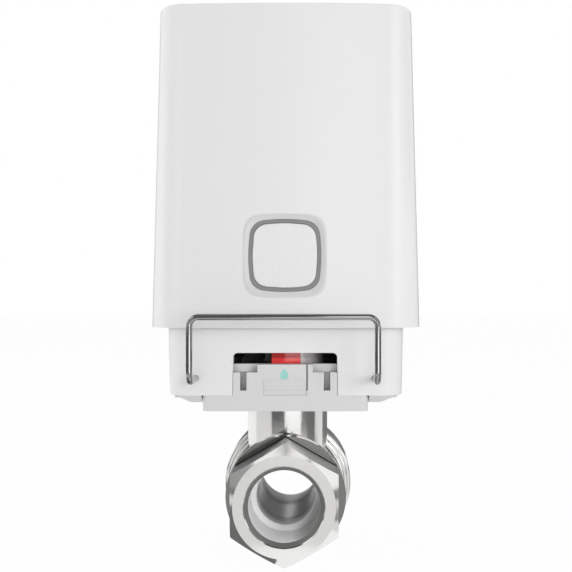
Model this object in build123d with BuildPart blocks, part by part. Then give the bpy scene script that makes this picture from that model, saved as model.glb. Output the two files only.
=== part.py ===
from build123d import *
from math import acos, cos, pi, radians, sin, sqrt, tan
import os

# Frame: the origin is on the pipe axis where the front port's thread starts.
# The pipe runs along Y, the valve's stem stands along +Z, and the button faces -Y. Millimetres.

# Clearances shared by all pieces
running_gap = 0.05
fit_gap = 0.1
moving_gap = 0.3
cut_overrun = 1.0

# Ports and valve body
valve_length = 55.0
thread_radius = 9.315
mouth_radius = 10.6
mouth_depth = 1.3
thread_length = 10.7
passage_cone_length = 1.5
passage_radius = 7.9
hex_flats = 28.0
hex_length = 11.0
hex_face_radius = 13.3
hex_chamfer_length = 1.6
relief_radius = 13.4
relief_length = 1.0
front_collar_radius = 16.3
front_collar_length = 2.5
barrel_radius = 12.9
barrel_length = 5.5
collar_radius = 15.0
collar_length = 4.0
step_length = 3.0
step_rise = 0.9
body_radius = 18.3
body_back = 14.5
ring_edge_round = 0.45
ring_groove_width = 0.9
ring_groove_depth = 0.5

# Ball, seats and end cap
ball_radius = 10.8
chamber_radius = 11.3
seat_radius = 10.65
seat_back = 10.85
seat_front = 6.5
cap_thread_radius = 13.6
cap_spigot_front = 8.7
seal_radius = 15.2
seal_width = 1.6
cap_flange_radius = 17.0
cap_flange_length = 2.5

# Stem and its seals, heights above the pipe axis
neck_radius = 11.4
neck_top = 23.6
neck_edge_round = 0.5
stem_radius = 4.0
stem_collar_radius = 5.0
stem_collar_bottom = 11.35
stem_collar_height = 1.55
stem_square = 6.4
stem_square_bottom = 30.0
stem_top = 38.0
tang_width = 3.0
tang_length = 7.2
tang_bottom = 9.0
washer_height = 1.2
ring_wire_radius = 0.4
ring_seat_radius = 3.2
ring_spacing = 2.0
packing_radius = 5.6
packing_bottom = 19.0
gland_radius = 7.0
gland_bottom = 21.0
gland_slot = 1.6

# Mounting platform on the neck
platform_width = 44.0
platform_front = 19.8
platform_back = 20.0
platform_height = 4.2
platform_corner = 1.6
deck_width = 34.4
deck_back = 16.5
deck_height = 6.1
shoulder_depth = 2.2
rim_depth = 2.4
tab_width = 14.7
tab_depth = 2.8
tab_rise = 2.1
panel_width = 11.6
panel_inset = 0.35
panel_ledge = 1.0
panel_groove = 0.45
panel_foot_height = 1.3
slot_width = 1.7
slot_spacing = 22.2
slot_depth = 3.0
slot_height = 4.8
well_radius = 12.4
well_floor = 0.8
platform_bolt_circle = 18.4
platform_bolt_count = 4
ear_inner = 19.5
ear_outer = 26.0
ear_front = 11.5
ear_back = 3.5
ear_top = 34.9

# Coupling drum and pointer
drum_radius = 13.5
drum_height = 7.0
drum_hub_radius = 6.0
drum_hub_height = 3.0
drum_groove_height = 1.0
drum_groove_depth = 0.5
pointer_width = 7.8
pointer_proud = 0.8
pointer_depth = 3.6
pointer_step_depth = 0.7
socket_square = 7.0
socket_depth = 2.7

# Chassis, the white base
housing_back_shift = 5.0
base_width = 62.8
base_top_flare = 0.45
base_depth = 50.0
base_corner = 6.0
base_bottom = 25.4
base_chamfer_height = 2.4
base_chamfer_inset = 5.5
base_top = 47.0
base_wall = 2.4
base_floor = 3.6
window_width = 27.5
window_foot_width = 28.2
window_top = 39.1
window_corner = 1.2
plate_gap = 0.3
head_gap = 0.8
recess_top = 41.8
recess_roof = 2.0
recess_back_wall = 2.2
recess_side_wall = 2.2
ear_gap = 0.6
ear_housing_wall = 2.0
side_notch_width = 1.6
side_notch_height = 2.0
side_notch_depth = 0.8
side_notch_front = 12.0
side_notch_bottom = 31.7
flange_height = 2.4
flange_gap = 0.3
post_side = 6.9
post_y = 23.0
post_radius = 2.9
post_bolt_radius = 1.5
post_head_radius = 2.9
post_head_height = 2.4
post_bolt_top = 62.0

# Cover, the tall white cap
cover_overhang = 5.0
cover_end_overhang = 3.5
cover_corner = 10.0
cover_bow = 1.4
cover_bottom = 45.8
cover_height = 85.7
cover_draft = 1.5
cover_top_round = 0.6
skirt_wall = 2.0
cover_wall = 2.8
gasket_height = 1.0
gasket_width = 2.0
cover_post_top = 70.0
rib_thickness = 1.6

# Button, its ring and the dish that they sit in
button_rise = 19.0
dish_width = 22.0
dish_depth = 0.55
ring_width = 18.9
ring_inner_width = 17.2
ring_sink = 0.5
ring_flange_width = 20.8
ring_flange_height = 1.0
ring_depth = 6.0
button_width = 17.0
button_sink = 0.3
button_thickness = 2.4
button_edge_round = 0.3
plunger_radius = 1.6
button_travel = 0.5
side_bow_share = 0.09
corner_round_share = 0.43

# Locking bracket
wire_radius = 0.8
pin_spacing = 47.5
pin_height = 32.3
bar_height = 48.8
bar_forward = 31.0
pin_end = 1.0
bracket_bend = 2.4

# Gear train
half_turn = 180.0
pressure_angle = 25.0
tooth_tip_share = 0.8
tooth_root_share = 1.05
backlash = 0.12
centre_slack = 0.1
large_module = 0.8
small_module = 0.5
output_teeth = 40
second_wheel_teeth = 36
first_wheel_teeth = 30
pinion_teeth = 12
second_direction = 45.0
first_direction = 160.0
motor_direction = 200.0
gear_floor_gap = 0.6
output_gear_height = 4.5
wheel_height = 2.5
pinion_overlap = 0.2
layer_gap = 0.4
axle_radius = 1.0
axle_sink = 1.3
shaft_radius = 5.0
shaft_top_radius = 3.0
bushing_wall = 1.4
bushing_flange = 1.0
gear_web_inset = 1.0
gear_rim = 1.8
gear_hub_radius = 7.0

# Gearbox lid and motor
lid_side_gap = 0.6
lid_end_gap = 1.0
lid_ring_clearance = 1.95
lid_step_back = 12.0
lid_wall = 1.6
lid_plate_bottom = 57.0
lid_plate = 2.0
lid_corner = 6.5
lid_boss_radius = 2.4
lid_screw_edge = 1.6
lid_screw_rows = (-9.0, 12.0)
motor_radius = 12.2
motor_height = 25.0
motor_edge_round = 1.1
motor_boss_radius = 3.0
motor_boss_height = 1.6
motor_shaft_radius = 1.0
motor_shaft_inside = 5.0

# Inner frame, board and battery tray
frame_board_overlap = 1.7
frame_wall = 1.8
frame_height = 34.0
frame_back = 18.0
board_front = 13.6
board_thickness = 1.6
board_side_gap = 9.9
board_bottom_gap = 1.0
board_top_gap = 2.1
board_screw_edge = 2.1
board_screw_rise = 12.5
board_screw_pitch = 19.0
board_boss_radius = 2.2
board_boss_length = 8.0
switch_size = 6.0
switch_height = 3.5
switch_plunger_radius = 1.75
switch_plunger_reach = 0.6
led_size = 2.0
led_height = 1.0
led_spacing = 14.4
radio_width = 18.0
radio_height = 12.0
radio_thickness = 2.2
radio_rise = 17.1
tray_side_gap = 7.2
tray_play = 0.5
tray_wall = 1.5
tray_height = 25.0
cell_radius = 7.25
cell_end_room = 2.45
cell_nub_radius = 2.75
cell_nub_length = 1.0
contact_size = 11.0
contact_thickness = 0.6

# Screws
screw_radius = 1.25
screw_head_radius = 2.2
screw_head_height = 1.4
screw_length = 5.5
small_screw_radius = 0.95
small_head_radius = 1.8
small_head_height = 1.2
lid_screw_length = 14.0
board_screw_length = 7.0
drive_hole_share = 0.45

# Places worked out from the sizes above
mouth_y = -mouth_depth
stem_y = valve_length / 2 - mouth_depth
housing_y = stem_y + housing_back_shift
rear_y = valve_length - mouth_depth
plate_top = neck_top + platform_height
deck_top = plate_top + deck_height
drum_bottom = deck_top + moving_gap
drum_top = drum_bottom + drum_height
chassis_floor = recess_top + recess_roof
flange_top = base_top + flange_height
window_foot = base_bottom - cut_overrun
base_top_width = base_width + 2 * base_top_flare
cover_width = base_width + 2 * cover_overhang
cover_depth = base_depth + 2 * cover_end_overhang
button_height = cover_bottom + button_rise
post_x = base_width / 2 - post_side
gear_bottom = chassis_floor + gear_floor_gap
second_wheel_bottom = gear_bottom + output_gear_height + 2 * layer_gap
first_wheel_bottom = second_wheel_bottom + wheel_height + 2 * layer_gap
lid_top = lid_plate_bottom + lid_plate
lid_width = base_width - 2 * lid_side_gap
lid_depth = base_depth - 2 * lid_end_gap
lid_step_height = button_height - ring_width / 2 - lid_ring_clearance - flange_top
lid_screw_x = lid_width / 2 - lid_screw_edge
frame_top = lid_top + frame_height
board_width = cover_width - 2 * board_side_gap
board_screw_x = board_width / 2 - board_screw_edge
frame_inner_width = board_width - 2 * frame_board_overlap
tray_width = cover_width - 2 * tray_side_gap
cell_length = tray_width - 2 * (tray_wall + cell_end_room)
cell_pitch = 2 * cell_radius + moving_gap
tray_depth = 2 * (cell_pitch + tray_wall + tray_play)
cover_top = cover_bottom + cover_height
wire_hole_radius = wire_radius + running_gap
base_front_y = housing_y - base_depth / 2
cover_front_y = housing_y - cover_depth / 2
board_y = stem_y - board_front

os.makedirs("parts", exist_ok=True)


def level(height, y=stem_y):
    """A horizontal plane at a height, centred on the stem axis or another Y."""
    return Plane(origin=(0, y, height))


def squircle(width):
    """A square with gently bowed sides and large round corners."""
    half = width / 2
    corner = half * (1 - side_bow_share)
    with BuildSketch(mode=Mode.PRIVATE) as outline:
        with BuildLine():
            ThreePointArc((-corner, -corner), (0, -half), (corner, -corner))
            ThreePointArc((corner, -corner), (half, 0), (corner, corner))
            ThreePointArc((corner, corner), (0, half), (-corner, corner))
            ThreePointArc((-corner, corner), (-half, 0), (-corner, -corner))
        make_face()
        fillet(outline.vertices(), half * corner_round_share)
    return outline.sketch


def bowed_rectangle(width, depth, bow, corner):
    """A rounded rectangle whose front and back bow out towards the middle."""
    corner_y = depth / 2 - bow
    with BuildSketch(mode=Mode.PRIVATE) as outline:
        with BuildLine():
            ThreePointArc((-width / 2, -corner_y), (0, -depth / 2), (width / 2, -corner_y))
            Line((width / 2, -corner_y), (width / 2, corner_y))
            ThreePointArc((width / 2, corner_y), (0, depth / 2), (-width / 2, corner_y))
            Line((-width / 2, corner_y), (-width / 2, -corner_y))
        make_face()
        fillet(outline.vertices(), corner)
    return outline.sketch


def gear_outline(teeth, module):
    """A spur gear with involute flanks. One tooth is centred on local X."""
    pitch_radius = teeth * module / 2
    base_radius = pitch_radius * cos(radians(pressure_angle))
    tip_radius = pitch_radius + module * tooth_tip_share
    root_radius = pitch_radius - module * tooth_root_share
    flank_start = max(base_radius, root_radius)
    thickness = pi * module / 2 - backlash

    def involute(radius):
        angle = acos(base_radius / radius)
        return tan(angle) - angle

    def half_angle(radius):
        return thickness / (2 * pitch_radius) + involute(pitch_radius) - involute(radius)

    def point(radius, angle):
        return (radius * cos(angle), radius * sin(angle))

    middle_radius = (flank_start + tip_radius) / 2
    pitch_angle = 2 * pi / teeth
    with BuildSketch(mode=Mode.PRIVATE) as outline:
        with BuildLine():
            for tooth in range(teeth):
                centre = tooth * pitch_angle
                start = half_angle(flank_start)
                middle = half_angle(middle_radius)
                tip = half_angle(tip_radius)
                if base_radius > root_radius:
                    Line(point(root_radius, centre - start), point(flank_start, centre - start))
                ThreePointArc(
                    point(flank_start, centre - start),
                    point(middle_radius, centre - middle),
                    point(tip_radius, centre - tip),
                )
                ThreePointArc(
                    point(tip_radius, centre - tip),
                    point(tip_radius, centre),
                    point(tip_radius, centre + tip),
                )
                ThreePointArc(
                    point(tip_radius, centre + tip),
                    point(middle_radius, centre + middle),
                    point(flank_start, centre + start),
                )
                if base_radius > root_radius:
                    Line(point(flank_start, centre + start), point(root_radius, centre + start))
                ThreePointArc(
                    point(root_radius, centre + start),
                    point(root_radius, centre + pitch_angle / 2),
                    point(root_radius, centre + pitch_angle - start),
                )
        make_face()
    return outline.sketch


def polar(origin, distance, direction):
    """The point at a distance and direction in degrees from another point."""
    angle = radians(direction)
    return (origin[0] + distance * cos(angle), origin[1] + distance * sin(angle))


def window_half_width(height):
    """Half the width of the chassis' front window at a height."""
    rise_share = (height - window_foot) / (window_top - window_foot)
    return (window_foot_width + (window_width - window_foot_width) * rise_share) / 2


def mesh_distance(teeth_a, teeth_b, module):
    """The centre distance of two gears."""
    return (teeth_a + teeth_b) * module / 2 + centre_slack


# Gear centres
output_centre = (0, stem_y)
second_centre = polar(output_centre, mesh_distance(output_teeth, pinion_teeth, large_module), second_direction)
first_centre = polar(second_centre, mesh_distance(second_wheel_teeth, pinion_teeth, small_module), first_direction)
motor_centre = polar(first_centre, mesh_distance(first_wheel_teeth, pinion_teeth, small_module), motor_direction)


def port_profile(start, inward):
    """The threaded port, cone and passage as seen from one mouth."""
    cone_start = start + inward * (mouth_depth + thread_length)
    cone_end = cone_start + inward * passage_cone_length
    with BuildSketch(mode=Mode.PRIVATE) as profile:
        with BuildLine():
            Polyline(
                (0, start - inward * cut_overrun),
                (mouth_radius, start - inward * cut_overrun),
                (mouth_radius, start),
                (thread_radius, start + inward * mouth_depth),
                (thread_radius, cone_start),
                (passage_radius, cone_end),
                (passage_radius, stem_y),
                (0, stem_y),
                close=True,
            )
        make_face()
    return profile.sketch


def hex_limit_profile(start, inward):
    """The turned chamfer that trims a hex end's corners."""
    corner_radius = hex_face_radius + hex_chamfer_length / tan(radians(30))
    with BuildSketch(mode=Mode.PRIVATE) as profile:
        with BuildLine():
            Polyline(
                (0, start),
                (hex_face_radius, start),
                (corner_radius, start + inward * hex_chamfer_length),
                (corner_radius, start + inward * valve_length),
                (0, start + inward * valve_length),
                close=True,
            )
        make_face()
    return profile.sketch


# Valve body: front hex, collar behind it, stepped round middle and upright neck
front_collar_start = mouth_y + hex_length + relief_length
front_collar_end = front_collar_start + front_collar_length
collar_start = front_collar_end + barrel_length
first_step = collar_start + collar_length
second_step = first_step + step_length
third_step = second_step + step_length
body_end = stem_y + body_back

with BuildPart() as valve_body:
    with BuildSketch(Plane.XZ.offset(-mouth_y)):
        RegularPolygon(hex_flats / 2, 6, major_radius=False, rotation=30)
    extrude(amount=-hex_length)
    with BuildSketch(Plane.XY):
        add(hex_limit_profile(mouth_y, 1))
    revolve(axis=Axis.Y, mode=Mode.INTERSECT)
    with BuildSketch(Plane.XY):
        with BuildLine():
            Polyline(
                (0, front_collar_start - 2 * relief_length),
                (relief_radius, front_collar_start - 2 * relief_length),
                (relief_radius, front_collar_start),
                (front_collar_radius, front_collar_start),
                (front_collar_radius, front_collar_end),
                (barrel_radius, front_collar_end),
                (barrel_radius, collar_start),
                (collar_radius, collar_start),
                (collar_radius, first_step),
                (body_radius - 2 * step_rise, first_step),
                (body_radius - 2 * step_rise, second_step),
                (body_radius - step_rise, second_step),
                (body_radius - step_rise, third_step),
                (body_radius, third_step),
                (body_radius, body_end),
                (0, body_end),
                close=True,
            )
        make_face()
    revolve(axis=Axis.Y)
    ring_edges = valve_body.edges().filter_by(GeomType.CIRCLE).filter_by_position(Axis.Y, first_step, third_step)
    outer_edges = [edge for edge in ring_edges if edge.radius > collar_radius + ring_edge_round]
    rear_edges = valve_body.edges().filter_by(GeomType.CIRCLE).filter_by_position(Axis.Y, body_end, body_end)
    shoulder_radii = (body_radius - 2 * step_rise, body_radius - step_rise, body_radius)
    shoulder_starts = (first_step, second_step, third_step)
    rounded = [
        edge
        for edge in outer_edges
        for radius, start in zip(shoulder_radii, shoulder_starts)
        if abs(edge.radius - radius) < running_gap and abs(edge.arc_center.Y - start) < running_gap
    ]
    fillet(rounded + list(rear_edges), ring_edge_round)
    with BuildSketch(Plane.XY):
        with Locations((body_radius, (third_step + body_end) / 2)):
            Rectangle(2 * ring_groove_depth, ring_groove_width)
    revolve(axis=Axis.Y, mode=Mode.SUBTRACT)
    with BuildSketch(level(0)):
        Circle(neck_radius)
    extrude(amount=neck_top)
    fillet(valve_body.edges().filter_by(GeomType.CIRCLE).sort_by(Axis.Z)[-1], neck_edge_round)
    with BuildSketch(Plane.XY):
        add(port_profile(mouth_y, 1))
        with BuildLine():
            Polyline(
                (0, stem_y - seat_back),
                (seat_radius + running_gap, stem_y - seat_back),
                (seat_radius + running_gap, stem_y - seat_front - running_gap),
                (chamber_radius, stem_y - seat_front - running_gap),
                (chamber_radius, stem_y + cap_spigot_front),
                (cap_thread_radius, stem_y + cap_spigot_front),
                (cap_thread_radius, body_end - seal_width),
                (seal_radius, body_end - seal_width),
                (seal_radius, body_end + cut_overrun),
                (0, body_end + cut_overrun),
                close=True,
            )
        make_face()
    revolve(axis=Axis.Y, mode=Mode.SUBTRACT)
    washer_top = stem_collar_bottom + stem_collar_height + washer_height + 2 * running_gap
    with BuildSketch(level(0)):
        Circle(stem_radius + running_gap)
    extrude(amount=neck_top + cut_overrun, mode=Mode.SUBTRACT)
    with BuildSketch(level(passage_radius)):
        Circle(stem_collar_radius + moving_gap)
    extrude(amount=washer_top - passage_radius, mode=Mode.SUBTRACT)
    with BuildSketch(level(packing_bottom)):
        Circle(packing_radius)
    extrude(amount=neck_top, mode=Mode.SUBTRACT)
    with BuildSketch(level(gland_bottom)):
        Circle(gland_radius)
    extrude(amount=neck_top, mode=Mode.SUBTRACT)
    with BuildSketch(level(neck_top - screw_length - cut_overrun)):
        with PolarLocations(platform_bolt_circle / 2, platform_bolt_count, start_angle=45):
            Circle(screw_radius + running_gap)
    extrude(amount=neck_top, mode=Mode.SUBTRACT)

valve_body.part.label = "valve_body"
export_step(valve_body.part, "parts/valve_body.step")

# End cap: screwed into the body from the back, with its own hex
cap_hex_start = body_end + cap_flange_length

with BuildPart() as end_cap:
    with BuildSketch(Plane.XZ.offset(-cap_hex_start)):
        RegularPolygon(hex_flats / 2, 6, major_radius=False, rotation=30)
    extrude(amount=-(rear_y - cap_hex_start))
    with BuildSketch(Plane.XY):
        add(hex_limit_profile(rear_y, -1))
    revolve(axis=Axis.Y, mode=Mode.INTERSECT)
    with BuildSketch(Plane.XY):
        with BuildLine():
            Polyline(
                (0, stem_y + cap_spigot_front + running_gap),
                (cap_thread_radius - running_gap, stem_y + cap_spigot_front + running_gap),
                (cap_thread_radius - running_gap, body_end),
                (cap_flange_radius, body_end),
                (cap_flange_radius, cap_hex_start),
                (0, cap_hex_start),
                close=True,
            )
        make_face()
    revolve(axis=Axis.Y)
    with BuildSketch(Plane.XY):
        add(port_profile(rear_y, -1))
        with Locations((0, stem_y)):
            Rectangle(seat_radius + running_gap, seat_back, align=(Align.MIN, Align.MIN))
    revolve(axis=Axis.Y, mode=Mode.SUBTRACT)

end_cap.part.label = "end_cap"
export_step(end_cap.part, "parts/end_cap.step")

with BuildPart() as body_seal:
    with BuildSketch(Plane.XZ.offset(-(body_end - seal_width + running_gap))):
        Circle(seal_radius - running_gap)
        Circle(cap_thread_radius + running_gap, mode=Mode.SUBTRACT)
    extrude(amount=-(seal_width - 2 * running_gap))

body_seal.part.label = "body_seal"
export_step(body_seal.part, "parts/body_seal.step")

# Ball seats: two rings with a spherical face, one on each side of the ball
for seat_name, side in (("front_seat", -1), ("rear_seat", 1)):
    with BuildPart() as seat:
        with BuildSketch(Plane.XZ.offset(-(stem_y + side * seat_front))):
            Circle(seat_radius)
            Circle(passage_radius + running_gap, mode=Mode.SUBTRACT)
        extrude(amount=-side * (seat_back - seat_front - running_gap))
        with Locations((0, stem_y, 0)):
            Sphere(ball_radius + fit_gap, mode=Mode.SUBTRACT)
    seat.part.label = seat_name
    export_step(seat.part, "parts/" + seat_name + ".step")

# Ball: its bore runs along the pipe while the valve is open
with BuildPart() as ball:
    with Locations((0, stem_y, 0)):
        Sphere(ball_radius)
    with BuildSketch(Plane.XZ.offset(-(stem_y + ball_radius))):
        Circle(passage_radius)
    extrude(amount=2 * ball_radius, mode=Mode.SUBTRACT)
    with BuildSketch(level(tang_bottom - fit_gap)):
        Rectangle(tang_width + 2 * fit_gap, 2 * ball_radius)
    extrude(amount=ball_radius, mode=Mode.SUBTRACT)

ball.part.label = "ball"
export_step(ball.part, "parts/ball.step")

# Stem: tang in the ball's slot, blow-out collar, two ring grooves, square top
ring_middle = (washer_top + packing_bottom) / 2
ring_heights = (ring_middle - ring_spacing / 2, ring_middle + ring_spacing / 2)

with BuildPart() as stem:
    with BuildSketch(level(tang_bottom)):
        Rectangle(tang_width, tang_length)
    extrude(amount=stem_collar_bottom - tang_bottom)
    with BuildSketch(level(stem_collar_bottom)):
        Circle(stem_collar_radius)
    extrude(amount=stem_collar_height)
    with BuildSketch(level(stem_collar_bottom)):
        Circle(stem_radius)
    extrude(amount=stem_square_bottom - stem_collar_bottom)
    with BuildSketch(level(stem_square_bottom)):
        Rectangle(stem_square, stem_square)
        Circle(stem_radius, mode=Mode.INTERSECT)
    extrude(amount=stem_top - stem_square_bottom)
    for height in ring_heights:
        with BuildSketch(level(height)):
            Circle(stem_radius)
            Circle(ring_seat_radius, mode=Mode.SUBTRACT)
        extrude(amount=ring_wire_radius + running_gap, both=True, mode=Mode.SUBTRACT)

stem.part.label = "stem"
export_step(stem.part, "parts/stem.step")

with BuildPart() as stem_o_rings:
    with Locations(*[(0, stem_y, height) for height in ring_heights]):
        Torus(ring_seat_radius + ring_wire_radius + running_gap / 2, ring_wire_radius)

stem_o_rings.part.label = "stem_o_rings"
export_step(stem_o_rings.part, "parts/stem_o_rings.step")

with BuildPart() as thrust_washer:
    with BuildSketch(level(washer_top - running_gap)):
        Circle(stem_collar_radius)
        Circle(stem_radius + 2 * running_gap, mode=Mode.SUBTRACT)
    extrude(amount=-washer_height)

thrust_washer.part.label = "thrust_washer"
export_step(thrust_washer.part, "parts/thrust_washer.step")

with BuildPart() as stem_packing:
    with BuildSketch(level(packing_bottom + running_gap)):
        Circle(packing_radius - running_gap)
        Circle(stem_radius + running_gap, mode=Mode.SUBTRACT)
    extrude(amount=gland_bottom - packing_bottom - running_gap)

stem_packing.part.label = "stem_packing"
export_step(stem_packing.part, "parts/stem_packing.step")

with BuildPart() as gland_nut:
    with BuildSketch(level(gland_bottom)):
        Circle(gland_radius - running_gap)
        Circle(stem_radius + 2 * running_gap, mode=Mode.SUBTRACT)
    extrude(amount=neck_top - gland_bottom - fit_gap)
    with BuildSketch(level(neck_top - fit_gap)):
        Rectangle(2 * gland_radius, gland_slot)
    extrude(amount=-gland_slot, mode=Mode.SUBTRACT)

gland_nut.part.label = "gland_nut"
export_step(gland_nut.part, "parts/gland_nut.step")

# Mounting platform: plate, deck with a front rim, tab and two ears for the bracket's pins
ear_span = ear_outer - ear_inner
ear_depth = ear_front - ear_back
tab_top = deck_top + tab_rise
platform_front_y = stem_y - platform_front

with BuildPart() as mount_platform:
    with BuildSketch(level(neck_top, platform_front_y)):
        Rectangle(platform_width, platform_front + platform_back, align=(Align.CENTER, Align.MIN))
    extrude(amount=platform_height)
    fillet(mount_platform.edges().filter_by(Axis.Z), platform_corner)
    with BuildSketch(Plane.XZ.offset(-platform_front_y)):
        with BuildLine():
            Polyline(
                (-window_half_width(plate_top) + fit_gap, plate_top),
                (window_half_width(plate_top) - fit_gap, plate_top),
                (window_half_width(deck_top) - fit_gap, deck_top),
                (-window_half_width(deck_top) + fit_gap, deck_top),
                close=True,
            )
        make_face()
    extrude(amount=-2 * shoulder_depth)
    with BuildSketch(level(plate_top, platform_front_y + shoulder_depth + moving_gap)):
        Rectangle(
            deck_width,
            platform_front + deck_back - shoulder_depth,
            align=(Align.CENTER, Align.MIN),
        )
    extrude(amount=deck_height)
    with BuildSketch(level(deck_top, platform_front_y + shoulder_depth + moving_gap)):
        Rectangle(deck_width, rim_depth, align=(Align.CENTER, Align.MIN))
    extrude(amount=tab_rise)
    with BuildSketch(level(plate_top, platform_front_y)):
        Rectangle(tab_width, tab_depth, align=(Align.CENTER, Align.MIN))
    extrude(amount=tab_top - plate_top)
    with BuildSketch(level(plate_top + panel_foot_height, platform_front_y)):
        with Locations((tab_width / 2 - (tab_width - panel_width) / 2, 0)):
            Rectangle(panel_groove, 2 * panel_ledge)
    extrude(amount=tab_top, mode=Mode.SUBTRACT)
    with BuildSketch(level(plate_top, platform_front_y)):
        Rectangle(panel_width, 2 * panel_inset)
    extrude(amount=(tab_top - plate_top) / 2, mode=Mode.SUBTRACT)
    with BuildSketch(level(plate_top + panel_foot_height, platform_front_y)):
        with Locations((0, panel_inset)):
            Rectangle(panel_width, panel_inset)
    extrude(amount=panel_foot_height, mode=Mode.SUBTRACT)
    with BuildSketch(level(deck_top - slot_height, platform_front_y)):
        with GridLocations(slot_spacing, 0, 2, 1):
            Rectangle(slot_width, 2 * slot_depth)
    extrude(amount=slot_height, mode=Mode.SUBTRACT)
    with BuildSketch(level(plate_top, stem_y - ear_front)):
        with Locations((ear_inner, 0), (-ear_outer, 0)):
            Rectangle(ear_span, ear_depth, align=(Align.MIN, Align.MIN))
    extrude(amount=ear_top - plate_top)
    with BuildSketch(Plane.XZ.offset(-(stem_y - ear_front - cut_overrun))):
        with Locations((pin_spacing / 2, pin_height), (-pin_spacing / 2, pin_height)):
            Circle(wire_hole_radius)
    extrude(amount=-(ear_depth + 2 * cut_overrun), mode=Mode.SUBTRACT)
    with BuildSketch(level(neck_top + well_floor + platform_height / 2)):
        Circle(well_radius)
    extrude(amount=deck_top, mode=Mode.SUBTRACT)
    with BuildSketch(level(neck_top)):
        Circle(stem_radius + moving_gap)
        with PolarLocations(platform_bolt_circle / 2, platform_bolt_count, start_angle=45):
            Circle(screw_radius + fit_gap)
    extrude(amount=platform_height, mode=Mode.SUBTRACT)

mount_platform.part.label = "mount_platform"
export_step(mount_platform.part, "parts/mount_platform.step")


def screw(radius, length, head_radius, head_height):
    """A cap screw under the current location: head above the plane, shank below it."""
    with Locations((0, 0, head_height / 2)):
        Cylinder(head_radius, head_height)
    with Locations((0, 0, -length / 2)):
        Cylinder(radius, length)
    with Locations((0, 0, head_height)):
        Cylinder(head_radius * drive_hole_share, head_height, mode=Mode.SUBTRACT)


well_height = neck_top + well_floor + platform_height / 2

with BuildPart(level(well_height)) as platform_screws:
    with PolarLocations(platform_bolt_circle / 2, platform_bolt_count, start_angle=45):
        screw(screw_radius, screw_length, screw_head_radius, screw_head_height)

platform_screws.part.label = "platform_screws"
export_step(platform_screws.part, "parts/platform_screws.step")

# Coupling drum: square hole for the stem below, square socket for the output shaft above
pointer_front = drum_radius + pointer_proud

with BuildPart() as coupling_drum:
    with BuildSketch(level(drum_bottom)):
        Circle(drum_radius)
    extrude(amount=drum_height)
    with BuildSketch(level(drum_bottom)):
        Circle(drum_hub_radius)
    extrude(amount=-drum_hub_height)
    with BuildSketch(level(drum_bottom - drum_hub_height)):
        Rectangle(stem_square + 2 * running_gap, stem_square + 2 * running_gap)
        Circle(stem_radius + running_gap, mode=Mode.INTERSECT)
    extrude(amount=stem_top + fit_gap - drum_bottom + drum_hub_height, mode=Mode.SUBTRACT)
    with BuildSketch(level(drum_top)):
        Rectangle(socket_square + 2 * running_gap, socket_square + 2 * running_gap)
    extrude(amount=-socket_depth, mode=Mode.SUBTRACT)
    with BuildSketch(level(drum_bottom + drum_height / 2)):
        Circle(drum_radius)
        Circle(drum_radius - drum_groove_depth, mode=Mode.SUBTRACT)
    extrude(amount=drum_groove_height / 2, both=True, mode=Mode.SUBTRACT)
    with BuildSketch(level(drum_bottom)):
        with Locations((0, pointer_depth / 2 - pointer_front)):
            Rectangle(pointer_width + 2 * running_gap, pointer_depth + 2 * running_gap)
    extrude(amount=drum_height, mode=Mode.SUBTRACT)

coupling_drum.part.label = "coupling_drum"
export_step(coupling_drum.part, "parts/coupling_drum.step")

with BuildPart() as position_pointer:
    with BuildSketch(level(drum_bottom)):
        Circle(pointer_front)
        with Locations((0, pointer_depth / 2 - pointer_front)):
            Rectangle(pointer_width, pointer_depth, mode=Mode.INTERSECT)
    extrude(amount=drum_height)
    with BuildSketch(level(drum_top - drum_height / 2)):
        Circle(2 * pointer_front)
        Circle(pointer_front - pointer_step_depth, mode=Mode.SUBTRACT)
    extrude(amount=drum_height, mode=Mode.SUBTRACT)

position_pointer.part.label = "position_pointer"
export_step(position_pointer.part, "parts/position_pointer.step")

# Output shaft and its gear
journal_bottom = gear_bottom + output_gear_height

with BuildPart() as output_shaft:
    with BuildSketch(level(drum_top)):
        Rectangle(socket_square, socket_square)
        Circle(shaft_radius - running_gap, mode=Mode.INTERSECT)
    extrude(amount=-(socket_depth - fit_gap))
    with BuildSketch(level(drum_top)):
        Circle(shaft_radius)
    extrude(amount=journal_bottom - drum_top)
    with BuildSketch(level(journal_bottom)):
        Circle(shaft_top_radius)
    extrude(amount=lid_top - journal_bottom)

output_shaft.part.label = "output_shaft"
export_step(output_shaft.part, "parts/output_shaft.step")


def toothed_disc(outline, rotation, centre, bottom, height):
    """One toothed disc of a gear, turned to mesh with its neighbour."""
    with BuildPart(mode=Mode.PRIVATE) as disc:
        with BuildSketch(Plane(origin=(centre[0], centre[1], bottom))):
            add(outline, rotation=rotation)
        extrude(amount=height)
    return disc.part


large_pinion = gear_outline(pinion_teeth, large_module)
small_pinion = gear_outline(pinion_teeth, small_module)

output_outline = gear_outline(output_teeth, large_module)
output_disc = toothed_disc(output_outline, second_direction, output_centre, gear_bottom, output_gear_height)

with BuildPart() as output_gear:
    add(output_disc)
    rim_radius = (output_teeth / 2 - tooth_root_share) * large_module - gear_rim
    for web_face in (gear_bottom, gear_bottom + output_gear_height):
        with BuildSketch(level(web_face)):
            Circle(rim_radius)
            Circle(gear_hub_radius, mode=Mode.SUBTRACT)
        extrude(amount=gear_web_inset, both=True, mode=Mode.SUBTRACT)
    with BuildSketch(level(gear_bottom)):
        Circle(shaft_radius + running_gap)
    extrude(amount=output_gear_height, mode=Mode.SUBTRACT)

output_gear.part.label = "output_gear"
export_step(output_gear.part, "parts/output_gear.step")

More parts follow.
